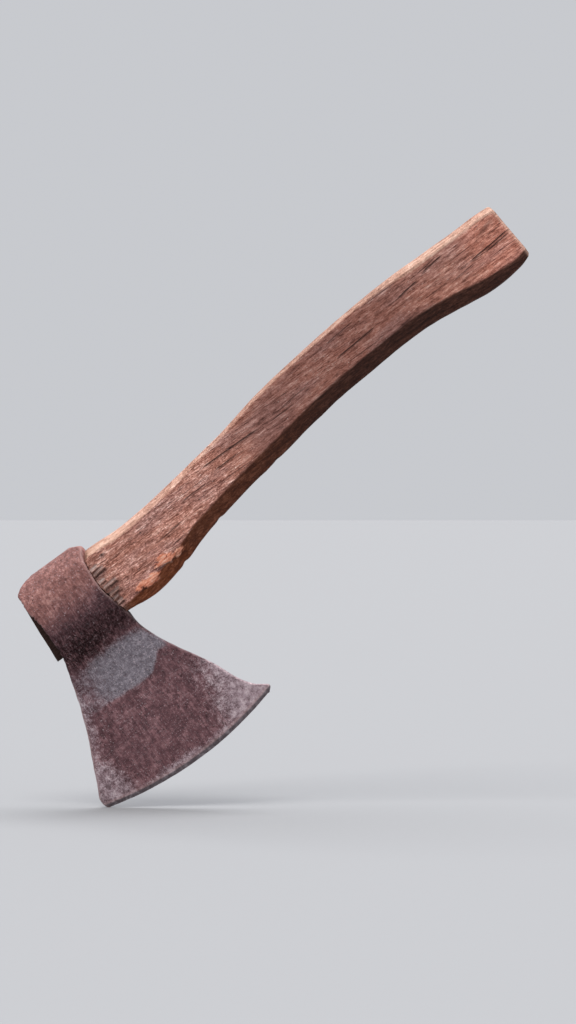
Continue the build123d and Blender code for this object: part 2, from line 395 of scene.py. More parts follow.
def head_detail(vertices, quads):
    """Forging waves, hammer marks and pits, and the masks that the steel's colours follow."""
    normals = normals_of(vertices, quads)
    x, y, z = vertices.T
    thin = smoothstep(0.3, 4.0, np.abs(y))
    waves = 0.38 * fractal_noise(vertices, (19, 19, 19), 3, 3) * (0.35 + 0.65 * thin)
    dents = -0.36 * smoothstep(0.10, 0.70, fractal_noise(vertices, (9, 9, 9), 11, 2))
    pits = -0.16 * smoothstep(0.30, 0.75, fractal_noise(vertices, (2.3, 2.3, 2.3), 19, 2))
    grit = 0.035 * lattice_noise(vertices, (0.9, 0.9, 0.9), 23)
    in_hole = np.hypot(y / HOLE_HALF_WIDTH, (z - 2) / 24) < 0.98
    swell = 0.30 * np.exp(-((near_gap(x, z) / 0.9) ** 2)) * smoothstep(-32, -20, z)
    moved = waves + dents * thin + pits * (0.35 + 0.65 * thin) + grit + swell
    moved = moved * ~(in_hole & (np.abs(y) < 12))
    shaped = vertices + normals * moved[:, None]
    ragged = 4.5 * fractal_noise(vertices, (11, 11, 11), 31, 4)
    below_shade = smoothstep(-33, -43, z + 0.8 * ragged)
    band = below_shade * smoothstep(-66.5, -63.0, z + 0.55 * ragged + lower_edge(x))
    patch = band * smoothstep(5.5, 2.0, x + 0.35 * (z + 45) + 0.5 * ragged)
    patch *= 0.35 + 0.65 * smoothstep(-52, -30, x + ragged)
    toe = smoothstep(-50, -66, x + 0.28 * (z + 110) + ragged) * smoothstep(-80, -95, z + ragged)
    from_far = x - smooth_through(z, FAR_SIDE_Z, FAR_SIDE_X)
    side = 0.55 * smoothstep(12, 1, from_far + ragged) * smoothstep(-44, -52, z)
    heel = smoothstep(-8, 32, x - 0.10 * (z + 100) + 1.4 * ragged) * smoothstep(-56, -88, z + ragged)
    from_arc = EDGE_RADIUS - np.hypot(x - EDGE_MIDDLE[0], z - EDGE_MIDDLE[1] - EDGE_RADIUS)
    edge = 0.8 * smoothstep(9.0, 2.0, from_arc + ragged)
    # Painted shade: the lower cheek, where the eye's side turns in towards the blade and faces downwards, is
    # darkened in colour.
    painted_shade = np.exp(-(((x + 33 + 0.4 * ragged) / 27) ** 2) - (((z + 27.5 + 0.4 * ragged) / 11.5) ** 2))
    painted_shade = np.maximum(painted_shade, 0.75 * smoothstep(0, -22, z + ragged) * smoothstep(-40, -26, z + 0.6 * ragged))
    # Pinkish patina tone and painted light from above: the upper eye and the poll are made warmer and
    # lighter.
    pink_lit_top = smoothstep(-14, 6, z + ragged)
    rounded = EYE_HALF_WIDTH * np.sqrt(np.clip(1 - ((z - EYE_WIDEST) / (EYE_BACK - EYE_WIDEST)) ** 2, 0, 1))
    outer = np.where(z < EYE_WIDEST, smooth_through(z, SECTION_Z, SECTION_HALF), rounded)
    at_surface = smoothstep(0.72, 0.92, np.abs(y) / np.maximum(outer, 0.5))
    # Painted highlights: a pale band along the eye's near rim, a pale line along the toe side edge and a
    # light line along the top of the bevel.
    lip_and_edge_highlight = np.exp(-((near_gap(x, z) / 1.1) ** 2)) * smoothstep(-32, -22, z) * at_surface
    lip_and_edge_highlight = np.maximum(lip_and_edge_highlight, 0.8 * np.exp(-((from_far / 0.8) ** 2)) * smoothstep(-40, -46, z))
    lip_and_edge_highlight = np.maximum(lip_and_edge_highlight, 0.7 * np.exp(-(((from_arc - 3.3) / 0.6) ** 2)))
    return shaped, {
        "patch": patch,
        "tips": np.clip(np.maximum(0.75 * toe, side) + heel, 0, 1),
        # The ground band along the cutting edge, rubbed bright.
        "ground_and_bevel_shade": edge,
        "painted_shade": painted_shade,
        "warm_lit_top": pink_lit_top,
        "lip_and_edge_highlight": lip_and_edge_highlight,
        # Painted shade: the bevel, which faces downwards, is darkened in colour.
        "shaded_bevel": smoothstep(3.0, 2.4, from_arc),
    }


def lower_edge(x):
    """How the worn patch's lower border bends up towards the heel side."""
    return -8.5 * smoothstep(-14, 3, x)


def near_gap(x, z):
    """Distance from the head's handle side."""
    return np.abs(x - smooth_through(z, NEAR_SIDE_Z, NEAR_SIDE_X))


# ---------------------------------------------------------------- handle


def grip_section(x):
    """The eight corners of each section of the grip, as sections by corners by y and z."""
    back, belly, thickness, back_reach, belly_reach = (
        smooth_through(x, STATIONS[:, 0], STATIONS[:, k]) for k in range(1, 6)
    )
    back = back + 0.22 * wander(x, 26, 101)
    belly = belly + 0.42 * wander(x, 17, 103, 2) + 0.25 * np.abs(wander(x, 9, 104, 2)) - 0.1
    belly = belly + sum(depth * np.exp(-(((x - at) / 2.2) ** 2)) for at, depth in BELLY_NICKS)
    half = thickness / 2
    sides = {}
    for side, seed in ((1.0, 111), (-1.0, 131)):
        face = half + 0.16 * wander(x, 30, seed)
        high = back_reach * (1 + 0.20 * wander(x, 22, seed + 2)) + 0.25 * wander(x, 7, seed + 3)
        low = belly_reach + 0.75 * wander(x, 15, seed + 4) + 0.2 * wander(x, 5, seed + 6, 2)
        low = np.maximum(low, 1.4)
        high = np.maximum(high, 1.2)
        back_half = face - high * BACK_FACET_SLANT
        belly_half = face - low * BELLY_FACET_SLANT
        sides[side] = (face, high, low, back_half, belly_half)
    face, high, low, back_half, belly_half = sides[1.0]
    right = [(back_half, back), (face, back - high), (face, belly + low), (belly_half, belly)]
    face, high, low, back_half, belly_half = sides[-1.0]
    left = [(-belly_half, belly), (-face, belly + low), (-face, back - high), (-back_half, back)]
    corners = [left[3], *right, *left[:3]]
    return np.stack([np.stack(corner, axis=1) for corner in corners], axis=1)


def around_ring(corners):
    """Points around each eight-sided section, evenly spaced on each facet, as rings by points."""
    parts = []
    for k, steps in enumerate(FACET_STEPS):
        start, end = corners[:, k], corners[:, (k + 1) % 8]
        share = (np.arange(steps) / steps)[None, :, None]
        parts.append(start[:, None] * (1 - share) + end[:, None] * share)
    rings = np.concatenate(parts, axis=1)
    for _ in range(2):
        rings = (np.roll(rings, 1, axis=1) + 2 * rings + np.roll(rings, -1, axis=1)) / 4
    return rings


def tenon_ring(grip_ring):
    """The teardrop of the eye's hole, with its points in the same directions as the grip's."""
    turn = np.linspace(0, math.pi, 240)
    upper_z = EYE_WIDEST + (HOLE_BACK - EYE_WIDEST) * np.sin(turn / 2)
    upper = np.stack([HOLE_HALF_WIDTH * np.cos(turn / 2), upper_z], 1)
    lower_z = np.linspace(HOLE_FRONT, EYE_WIDEST, 240)
    lower = np.stack([smooth_through(lower_z, HOLE_Z, HOLE_HALF), lower_z], 1)
    half = np.concatenate([lower[:-1], upper])
    outline = np.concatenate([half, half[::-1][1:] * (-1, 1)])
    angle = np.unwrap(np.arctan2(outline[:, 1], outline[:, 0]))
    wanted = np.arctan2(grip_ring[:, 1], grip_ring[:, 0])
    order = np.argsort(angle)
    full = angle[order]
    wanted = np.mod(wanted - full[0], 2 * math.pi) + full[0]
    return np.stack([np.interp(wanted, full, outline[order, k]) for k in range(2)], axis=1)


def handle_rings():
    """Rings of points along the handle: tenon end, tenon, shoulder, grip and butt as one skin."""
    spacing = np.concatenate([[0.0, 0.25, 0.6, 1.1], np.arange(1.8, BUTT_X - 1.9, 0.92), [BUTT_X - 1.5]])
    easing = np.array([0.0, 0.35, 0.8, 1.4])
    grip = around_ring(grip_section(np.concatenate([spacing, np.full(3, BUTT_X)])))
    rings = []
    base = around_ring(grip_section(np.array([0.0])))[0]
    inside = tenon_ring(base)
    slant = TENON_END[0] - TENON_END[1] * inside[:, 1]
    for share in (0.0, 0.25, 0.5, 0.72, 0.88, 0.97):
        middle = inside.mean(axis=0)
        ring = middle + (inside - middle) * share
        rings.append(np.column_stack([TENON_END[0] - TENON_END[1] * ring[:, 1], ring]))
    for back_off in (0.35, 0.9, 1.6, 2.6, 4.0, 12.0, 30.0):
        rings.append(np.column_stack([slant + back_off, inside]))
    rim_x = smooth_through(base[:, 1], NEAR_SIDE_Z, NEAR_SIDE_X)
    rings.append(np.column_stack([rim_x - 1.0, inside]))
    rings.append(np.column_stack([rim_x - 0.15, inside + (base - inside) * 0.5]))
    for at, ring in zip(spacing, grip):
        rim_x = smooth_through(ring[:, 1], NEAR_SIDE_Z, NEAR_SIDE_X) + 0.1
        held = max(0.0, 1 - at / 28) ** 2
        tilt = float(smoothstep(290, BUTT_X, at)) * BUTT_TILT * (ring[:, 1] - BUTT_MIDDLE)
        rings.append(np.column_stack([at + rim_x * held + tilt, ring]))
    butt = grip[-1]
    middle = butt.mean(axis=0)
    reach = np.linalg.norm(butt - middle, axis=1, keepdims=True)
    for inset, x in ((0.25, BUTT_X - 0.75), (0.8, BUTT_X - 0.2), (1.6, BUTT_X)):
        ring = middle + (butt - middle) * (1 - inset / reach)
        rings.append(np.column_stack([x + BUTT_TILT * (ring[:, 1] - BUTT_MIDDLE), ring]))
    for share in (0.86, 0.78, 0.68, 0.58, 0.48, 0.38, 0.28, 0.18, 0.09, 0.0):
        ring = middle + (butt - middle) * share
        rings.append(np.column_stack([BUTT_X + BUTT_TILT * (ring[:, 1] - BUTT_MIDDLE), ring]))
    return np.array(rings)


def closed_tube(points):
    """Vertices, quads and end triangles of rings whose first and last ones are single points."""
    first, last = points[0].mean(axis=0), points[-1].mean(axis=0)
    body = points[1:-1]
    rings, around = body.shape[:2]
    number = np.arange(rings * around).reshape(rings, around)
    wrapped = np.concatenate([number, number[:, :1]], axis=1)
    quads = np.concatenate([strip(wrapped[i], wrapped[i + 1]) for i in range(rings - 1)])
    vertices = np.concatenate([body.reshape(-1, 3), first[None], last[None]])
    start, end = len(vertices) - 2, len(vertices) - 1
    fans = [(wrapped[0, k + 1], wrapped[0, k], start) for k in range(around)]
    fans += [(wrapped[-1, k], wrapped[-1, k + 1], end) for k in range(around)]
    return vertices, quads, np.array(fans)


def groove(x, z, lines, side_mask):
    """How deep long grooves are at each point, and how dark their painted shade is, for lines on one side
    face.
    """
    depth = np.zeros(len(x))
    dark = np.zeros(len(x))
    for k, (start_x, start_z, end_x, end_z, width, deep) in enumerate(lines):
        bend = 0.30 * wander(x, 12, 200 + k, 3)
        distance, share = distance_to_segment(x, z + bend, start_x, start_z, end_x, end_z)
        fade = np.clip(7 * np.minimum(share, 1 - share), 0, 1) * side_mask
        shape = np.exp(-((distance / width) ** 2)) * fade
        depth = np.maximum(depth, deep * shape)
        dark = np.maximum(dark, shape * min(1.0, 0.5 + deep))
    return depth, dark


def far_side_lines(count, seed):
    """Cracks for the handle's other side, spread along it."""
    draws = np.random.default_rng(seed)
    lines = []
    for k in range(count):
        x = 40 + 270 * (k + draws.uniform(0.1, 0.9)) / count
        low = smooth_through(x, STATIONS[:, 0], STATIONS[:, 2]) + 10
        high = smooth_through(x, STATIONS[:, 0], STATIONS[:, 1]) - 4
        z = draws.uniform(low, high)
        length = draws.uniform(9, 34)
        lines.append((x + length / 2, z + 0.03 * length, x - length / 2, z - 0.03 * length,
                      draws.uniform(0.25, 0.4), draws.uniform(0.3, 0.8)))
    return lines


def handle_detail(vertices, quads):
    """Grain ridges, cracks, crushed notches, chips and the masks that the wood's colours follow."""
    normals = normals_of(vertices, quads)
    x, y, z = vertices.T
    back = smooth_through(x, STATIONS[:, 0], STATIONS[:, 1])
    belly = smooth_through(x, STATIONS[:, 0], STATIONS[:, 2])
    low_reach = smooth_through(x, STATIONS[:, 0], STATIONS[:, 5])
    outside = smoothstep(-5.5, -3.5, x)
    shown_face = smoothstep(8.0, 11.0, SHOWN_SIDE * y) * outside
    far_face = smoothstep(8.0, 11.0, -SHOWN_SIDE * y) * outside
    crack_depth, crack_dark = groove(x, z, CRACKS, shown_face)
    other_depth, other_dark = groove(x, z, far_side_lines(11, 5), far_face)
    torn_off = smoothstep(-0.75, -0.1, lattice_noise(vertices, (2.6, 2.0, 1.3), 93))
    notch_depth, notch_dark = groove(x, z, NOTCHES, shown_face * torn_off * (x > -5))
    mirrored = [(a, b + 4.0, c - 1.0, d + 4.5, w, deep) for a, b, c, d, w, deep in NOTCHES]
    far_notch, far_dark = groove(x, z, mirrored, far_face * (x > -5))
    splinter = np.zeros(len(x))
    for sign, seen, lines in ((1, shown_face, NOTCHES), (-1, far_face, mirrored)):
        raised = [(a, b + 1.6, 0.8 * c, d + 1.6, 0.9, 0.5) for a, b, c, d, w, deep in lines]
        splinter = np.maximum(splinter, groove(x, z, raised, seen * (x > -5))[1] / 0.8)
    hole = np.exp(-(((x - KNOT_HOLE[0]) / 1.6) ** 2) - (((z - KNOT_HOLE[1]) / 0.9) ** 2)) * shown_face
    grain = fractal_noise(vertices, (26, 1.5, 1.5), 71, 2)
    strands = lattice_noise(vertices, (9, 0.8, 0.8), 77)
    hewn = -0.30 * smoothstep(0.1, 0.8, fractal_noise(vertices, (34, 13, 13), 83, 2))
    crush = np.exp(-np.maximum(x + 3, 0) / 3.2) * outside * (x < 16)
    torn = crush * 0.45 * lattice_noise(vertices, (5.0, 1.3, 1.3), 89)
    fresh = np.zeros(len(x))
    chip_depth = np.zeros(len(x))
    chip_undercut_shade = np.zeros(len(x))
    for chip_x, chip_z, half_length, half_width, side in CHIPS:
        edge = 1.9 * fractal_noise(vertices, (4.5, 1.3, 1.3), 97, 4)
        inside = ((x - chip_x) / half_length) ** 2 + ((z - chip_z) / half_width) ** 2 + edge
        seen = smoothstep(4.0, 9.0, side * y)
        here = smoothstep(1.15, 0.85, inside) * seen
        fresh = np.maximum(fresh, here)
        chip_depth = np.maximum(chip_depth, 1.1 * here)
        # Painted shade: a dark line under each chip's lower edge.
        below = z - chip_z + 1.05 * half_width - 0.25 * edge
        undercut = np.exp(-((below / 0.45) ** 2)) * smoothstep(1.0, 0.8, np.abs(x - chip_x) / half_length)
        chip_undercut_shade = np.maximum(chip_undercut_shade, 0.8 * undercut * seen)
    hollow_x, hollow_z, hollow_length, hollow_width = HOLLOW_SHADE
    # Painted shade in a shallow hollow by the butt, which is also dented in.
    slope = z - hollow_z - 0.35 * (x - hollow_x)
    hollow_shade = np.exp(-(((x - hollow_x) / hollow_length) ** 2) - ((slope / hollow_width) ** 2)) * shown_face
    # A raised lip of wood at the eye's rim: shape only, not a colour.
    lip_and_edge_highlight = 1.9 * np.exp(-(np.maximum(x + 1.2, 0) / 1.9) ** 2) * smoothstep(13, 17, z) * outside * (x > -2.2)
    sunk = crack_depth + other_depth + notch_depth + far_notch + 1.1 * hole + chip_depth + 0.35 * hollow_shade
    from_butt = BUTT_X + BUTT_TILT * (z - BUTT_MIDDLE) - x
    moved = (0.09 * grain + 0.06 * strands + hewn) * smoothstep(0.0, 3.0, from_butt)
    moved += torn + lip_and_edge_highlight + 0.5 * splinter - sunk - 0.5 * chip_undercut_shade
    shaped = vertices + normals * (moved * np.maximum(outside, 0.25))[:, None]
    from_back = back - z
    from_belly = z - belly
    wavy = 0.5 * fractal_noise(vertices, (16, 4, 4), 151, 3)
    # Painted light: the back facet, facing up to the light, is made pale, most near the head and near the
    # butt.
    back_reach = smooth_through(x, STATIONS[:, 0], STATIONS[:, 4])
    pale_reach = back_reach * (1 + 0.45 * smoothstep(225, 275, x))
    lit_back = smoothstep(0.9, -0.7, from_back - pale_reach + 1.1 * wavy)
    lit_back *= 1 - 0.30 * smoothstep(1.2, 0.3, from_back)
    lit_back *= 0.62 + 0.38 * smoothstep(46, 14, x) + 0.30 * smoothstep(215, 270, x)
    # Grime and painted shade: the belly facet, which faces downwards, is darkened, partly as hand grime and
    # partly as shade.
    grime_and_shade = smoothstep(low_reach + 0.9, low_reach - 0.9, from_belly + 0.8 * wavy)
    glow = smoothstep(58, 36, x + 6 * wavy) + 0.55 * smoothstep(190, 60, x + 12 * wavy)
    glow = np.clip(glow, 0, 1) * smoothstep(-2, 8, x) * grime_and_shade
    bruised = crush * (1 - fresh)
    end_grain = np.maximum(smoothstep(0.5, 0.1, from_butt), x < -40)
    corner = np.exp(-(((from_butt - 1.0) / 0.8) ** 2))
    # Painted shade: cracks, notches, the knot hole and the chips' undercuts are darkened nearly to black.
    dark = np.clip(crack_dark + other_dark + 0.92 * (notch_dark + far_dark) + hole + chip_undercut_shade, 0, 1)
    return shaped, {
        "recess_shade": dark,
        "fresh": np.clip(fresh, 0, 1),
        "lit_back": np.clip(lit_back * outside, 0, 1),
        "grime_and_shade": np.clip(grime_and_shade * outside, 0, 1),
        "glow": glow,
        "bruised": bruised,
        "hollow_shade": hollow_shade,
        "end_grain": end_grain,
        "corner": corner,
        "splinter": np.clip(1.3 * splinter, 0, 1) * (1 - dark),
        "handled": smoothstep(95, 150, x + 8 * wavy) * smoothstep(275, 228, x + 8 * wavy),
        "cut_end": smoothstep(282, 308, x + 8 * wavy),
        "dry": smoothstep(128, 92, x + 10 * wavy) * outside,
        # Near-black tenon: dark, dirty end wood, with painted shade for the gap between the rims and the
        # wood.
        "tenon": 1 - outside,
    }


# ---------------------------------------------------------------- materials


class Shader:
    """A small helper that adds nodes to one material, in level millimetres."""

    def __init__(self, name):
        self.material = bpy.data.materials.new(name)
        self.material.use_nodes = True
        self.nodes = self.material.node_tree.nodes
        self.links = self.material.node_tree.links
        self.surface = self.nodes["Principled BSDF"]
        place = self.nodes.new("ShaderNodeTexCoord")
        turn = self.nodes.new("ShaderNodeMapping")
        turn.inputs["Rotation"].default_value = (0, RISE, 0)
        turn.inputs["Scale"].default_value = (1 / MM, 1 / MM, 1 / MM)
        self.links.new(place.outputs["Object"], turn.inputs["Vector"])
        self.level = turn.outputs["Vector"]

    def put(self, socket, value):
        if isinstance(value, bpy.types.NodeSocket):
            self.links.new(value, socket)
        else:
            socket.default_value = value

    def stretched(self, size, turned=(0, 0, 0)):
        """Level coordinates in which a feature of this size in millimetres is one unit."""
        node = self.nodes.new("ShaderNodeMapping")
        node.inputs["Rotation"].default_value = turned
        node.inputs["Scale"].default_value = [1 / s for s in size]
        self.links.new(self.level, node.inputs["Vector"])
        return node.outputs["Vector"]

    def noise(self, size, detail=4.0, roughness=0.55, distortion=0.0, turned=(0, 0, 0)):
        node = self.nodes.new("ShaderNodeTexNoise")
        node.inputs["Scale"].default_value = 1.0
        node.inputs["Detail"].default_value = detail
        node.inputs["Roughness"].default_value = roughness
        node.inputs["Distortion"].default_value = distortion
        self.links.new(self.stretched(size, turned), node.inputs["Vector"])
        return node.outputs["Fac"]

    def cells(self, size):
        node = self.nodes.new("ShaderNodeTexVoronoi")
        node.inputs["Scale"].default_value = 1.0
        self.links.new(self.stretched(size), node.inputs["Vector"])
        return node.outputs["Distance"]

    def mask(self, name):
        node = self.nodes.new("ShaderNodeAttribute")
        node.attribute_name = name
        return node.outputs["Fac"]

    def math(self, operation, a, b=0.0, clamp=False):
        node = self.nodes.new("ShaderNodeMath")
        node.operation = operation
        node.use_clamp = clamp
        self.put(node.inputs[0], a)
        self.put(node.inputs[1], b)
        return node.outputs[0]

    def between(self, value, low, high, out_low=0.0, out_high=1.0):
        """The value from low to high, as a smooth step from out_low to out_high."""
        node = self.nodes.new("ShaderNodeMapRange")
        node.interpolation_type = "SMOOTHSTEP"
        self.put(node.inputs["Value"], value)
        node.inputs["From Min"].default_value = low
        node.inputs["From Max"].default_value = high
        node.inputs["To Min"].default_value = out_low
        node.inputs["To Max"].default_value = out_high
        return node.outputs["Result"]

    def blend(self, share, a, b, mode="MIX"):
        node = self.nodes.new("ShaderNodeMix")
        node.data_type = "RGBA"
        node.blend_type = mode
        self.put(node.inputs[0], share)
        self.put(node.inputs[6], as_colour(a))
        self.put(node.inputs[7], as_colour(b))
        return node.outputs[2]

    def ramp(self, value, stops):
        node = self.nodes.new("ShaderNodeValToRGB")
        points = node.color_ramp.elements
        while len(points) < len(stops):
            points.new(0.5)
        for point, (position, colour) in zip(points, stops):
            point.position = position
            point.color = as_colour(colour)
        self.put(node.inputs[0], value)
        return node.outputs[0]

    def bump(self, height, millimetres, under=None):
        node = self.nodes.new("ShaderNodeBump")
        node.inputs["Distance"].default_value = millimetres * MM
        node.inputs["Strength"].default_value = 1.0
        self.put(node.inputs["Height"], height)
        if under is not None:
            self.links.new(under, node.inputs["Normal"])
        return node.outputs["Normal"]


def as_colour(value):
    if isinstance(value, tuple) and len(value) == 3:
        return (*value, 1.0)
    return value


def forged_steel():
    """Purple-brown patina, worn blue-grey patches, pits, speckles and scratches, with painted light on the
    upper eye, painted shade on the lower cheek and the bevel, and painted highlights along the rims.
    """
    s = Shader("forged_steel")
    clouds = s.noise((14, 14, 14), 5, 0.6, 0.4)
    mottle = s.noise((3.0, 3.0, 3.0), 7, 0.72)
    fine = s.noise((0.75, 0.75, 0.75), 3, 0.6)
    drawn = s.noise((1.1, 1.1, 10.0), 4, 0.62, 0.5)
    blotch = mixed(s, mixed(s, mottle, clouds), mixed(s, mottle, drawn))
    patina = s.ramp(
        blotch,
        [
            (0.38, (0.048, 0.015, 0.019)),
            (0.50, (0.124, 0.050, 0.058)),
            (0.61, (0.300, 0.150, 0.160)),
        ],
    )
    # Warmer, lighter colour for the top of the head: pinkish patina tone and painted light from above.
    warm_lit_top = s.ramp(
        blotch,
        [
            (0.38, (0.100, 0.032, 0.027)),
            (0.50, (0.250, 0.098, 0.084)),
            (0.61, (0.50, 0.25, 0.215)),
        ],
    )
    steel = s.ramp(
        mixed(s, mixed(s, mottle, fine), blotch),
        [
            (0.34, (0.090, 0.074, 0.086)),
            (0.50, (0.215, 0.196, 0.228)),
            (0.66, (0.50, 0.46, 0.50)),
        ],
    )
    bright = s.ramp(
        mottle,
        [
            (0.30, (0.15, 0.105, 0.115)),
            (0.50, (0.42, 0.315, 0.345)),
            (0.72, (0.80, 0.68, 0.71)),
        ],
    )
    # Blends in the warmer, lighter top: patina tone and painted light.
    colour = s.blend(s.math("MULTIPLY", s.mask("warm_lit_top"), 0.9), patina, warm_lit_top)
    streaks = s.between(drawn, 0.40, 0.62, 1.0, 0.55)
    # Painted shade on the lower cheek, streaked; below, it darkens the colour, raises the roughness and
    # lowers the specular level.
    painted_shade = s.math("MULTIPLY", s.math("MULTIPLY", s.mask("painted_shade"), 1.25), streaks, clamp=True)
    worn = s.mask("patch")
    broken = s.math("ADD", worn, scaled(s, mottle, 1.3, -0.65))
    broken = s.math("ADD", broken, scaled(s, fine, 0.7, -0.35))
    worn_here = s.math("MULTIPLY", s.between(broken, 0.05, 1.05), s.between(worn, 0.0, 0.30, 0.0, 0.90))
    colour = s.blend(worn_here, colour, steel)
    tips = s.math("MAXIMUM", s.mask("tips"), s.mask("ground_and_bevel_shade"))
    rubbed = s.math("ADD", tips, scaled(s, mottle, 1.5, -0.75))
    rubbed = s.math("ADD", rubbed, scaled(s, fine, 0.9, -0.45))
    rubbed = s.math("MULTIPLY", s.between(rubbed, 0.20, 1.05), s.between(tips, 0.0, 0.35, 0.0, 0.85))
    colour = s.blend(rubbed, colour, bright)
    # Painted shade: the lower cheek is darkened nearly to black.
    colour = s.blend(s.math("MULTIPLY", painted_shade, 0.95), colour, (0.012, 0.004, 0.004))
    bare = s.math("MAXIMUM", worn_here, rubbed)
    scratches = s.between(s.noise((9.0, 0.5, 0.28), 2, 0.5, 0.2, (0, 0.75, 0)), 0.60, 0.72)
    others = s.between(s.noise((0.26, 0.5, 8.0), 2, 0.5, 0.8, (0, -0.2, 0)), 0.60, 0.72)
    lines = s.math("MULTIPLY", s.math("MAXIMUM", scratches, others), scaled(s, bare, 0.35, 0.16))
    colour = s.blend(lines, colour, (0.50, 0.43, 0.45))
    speckle = s.between(s.noise((0.85, 0.85, 0.85), 2, 0.7), 0.61, 0.69)
    specks = s.math("MULTIPLY", speckle, scaled(s, bare, 0.30, 0.55))
    specks = s.math("MULTIPLY", specks, scaled(s, painted_shade, -0.7, 1.0), clamp=True)
    colour = s.blend(specks, colour, (0.62, 0.50, 0.53))
    pits = s.between(s.noise((1.3, 1.3, 1.3), 3, 0.6), 0.37, 0.27)
    colour = s.blend(s.math("MULTIPLY", pits, 0.85), colour, (0.028, 0.012, 0.011))
    # Grey of the ground bevel, darkened as painted shade of the downward-facing bevel.
    ground_and_bevel_shade = s.ramp(
        mottle,
        [
            (0.35, (0.060, 0.048, 0.052)),
            (0.50, (0.110, 0.092, 0.100)),
            (0.66, (0.24, 0.21, 0.22)),
        ],
    )
    colour = s.blend(s.math("MULTIPLY", s.mask("shaded_bevel"), 0.85), colour, ground_and_bevel_shade)
    # Painted highlights along the near rim, the toe side edge and the top of the bevel.
    colour = s.blend(s.math("MULTIPLY", s.mask("lip_and_edge_highlight"), 0.60), colour, (0.46, 0.30, 0.285))
    s.put(s.surface.inputs["Base Color"], colour)
    s.put(s.surface.inputs["Metallic"], s.between(bare, 0.0, 1.0, 0.10, 0.50))
    rough = s.math("ADD", s.between(fine, 0.3, 0.7, 0.42, 0.60), s.math("MULTIPLY", pits, 0.2), clamp=True)
    s.put(s.surface.inputs["Roughness"], s.math("ADD", rough, s.math("MULTIPLY", painted_shade, 0.2), clamp=True))
    s.put(s.surface.inputs["Specular IOR Level"], scaled(s, painted_shade, -0.30, 0.35))
    normal = s.bump(s.math("SUBTRACT", mottle, pits), 0.55)
    normal = s.bump(mixed(s, fine, drawn), 0.42, normal)
    s.put(s.surface.inputs["Normal"], s.bump(lines, 0.05, normal))
    return s.material


def mixed(s, a, b):
    """The middle of two values."""
    return s.math("MULTIPLY", s.math("ADD", a, b), 0.5)


def scaled(s, value, by, plus):
    """The value times by, plus a number."""
    return s.math("ADD", s.math("MULTIPLY", value, by), plus)


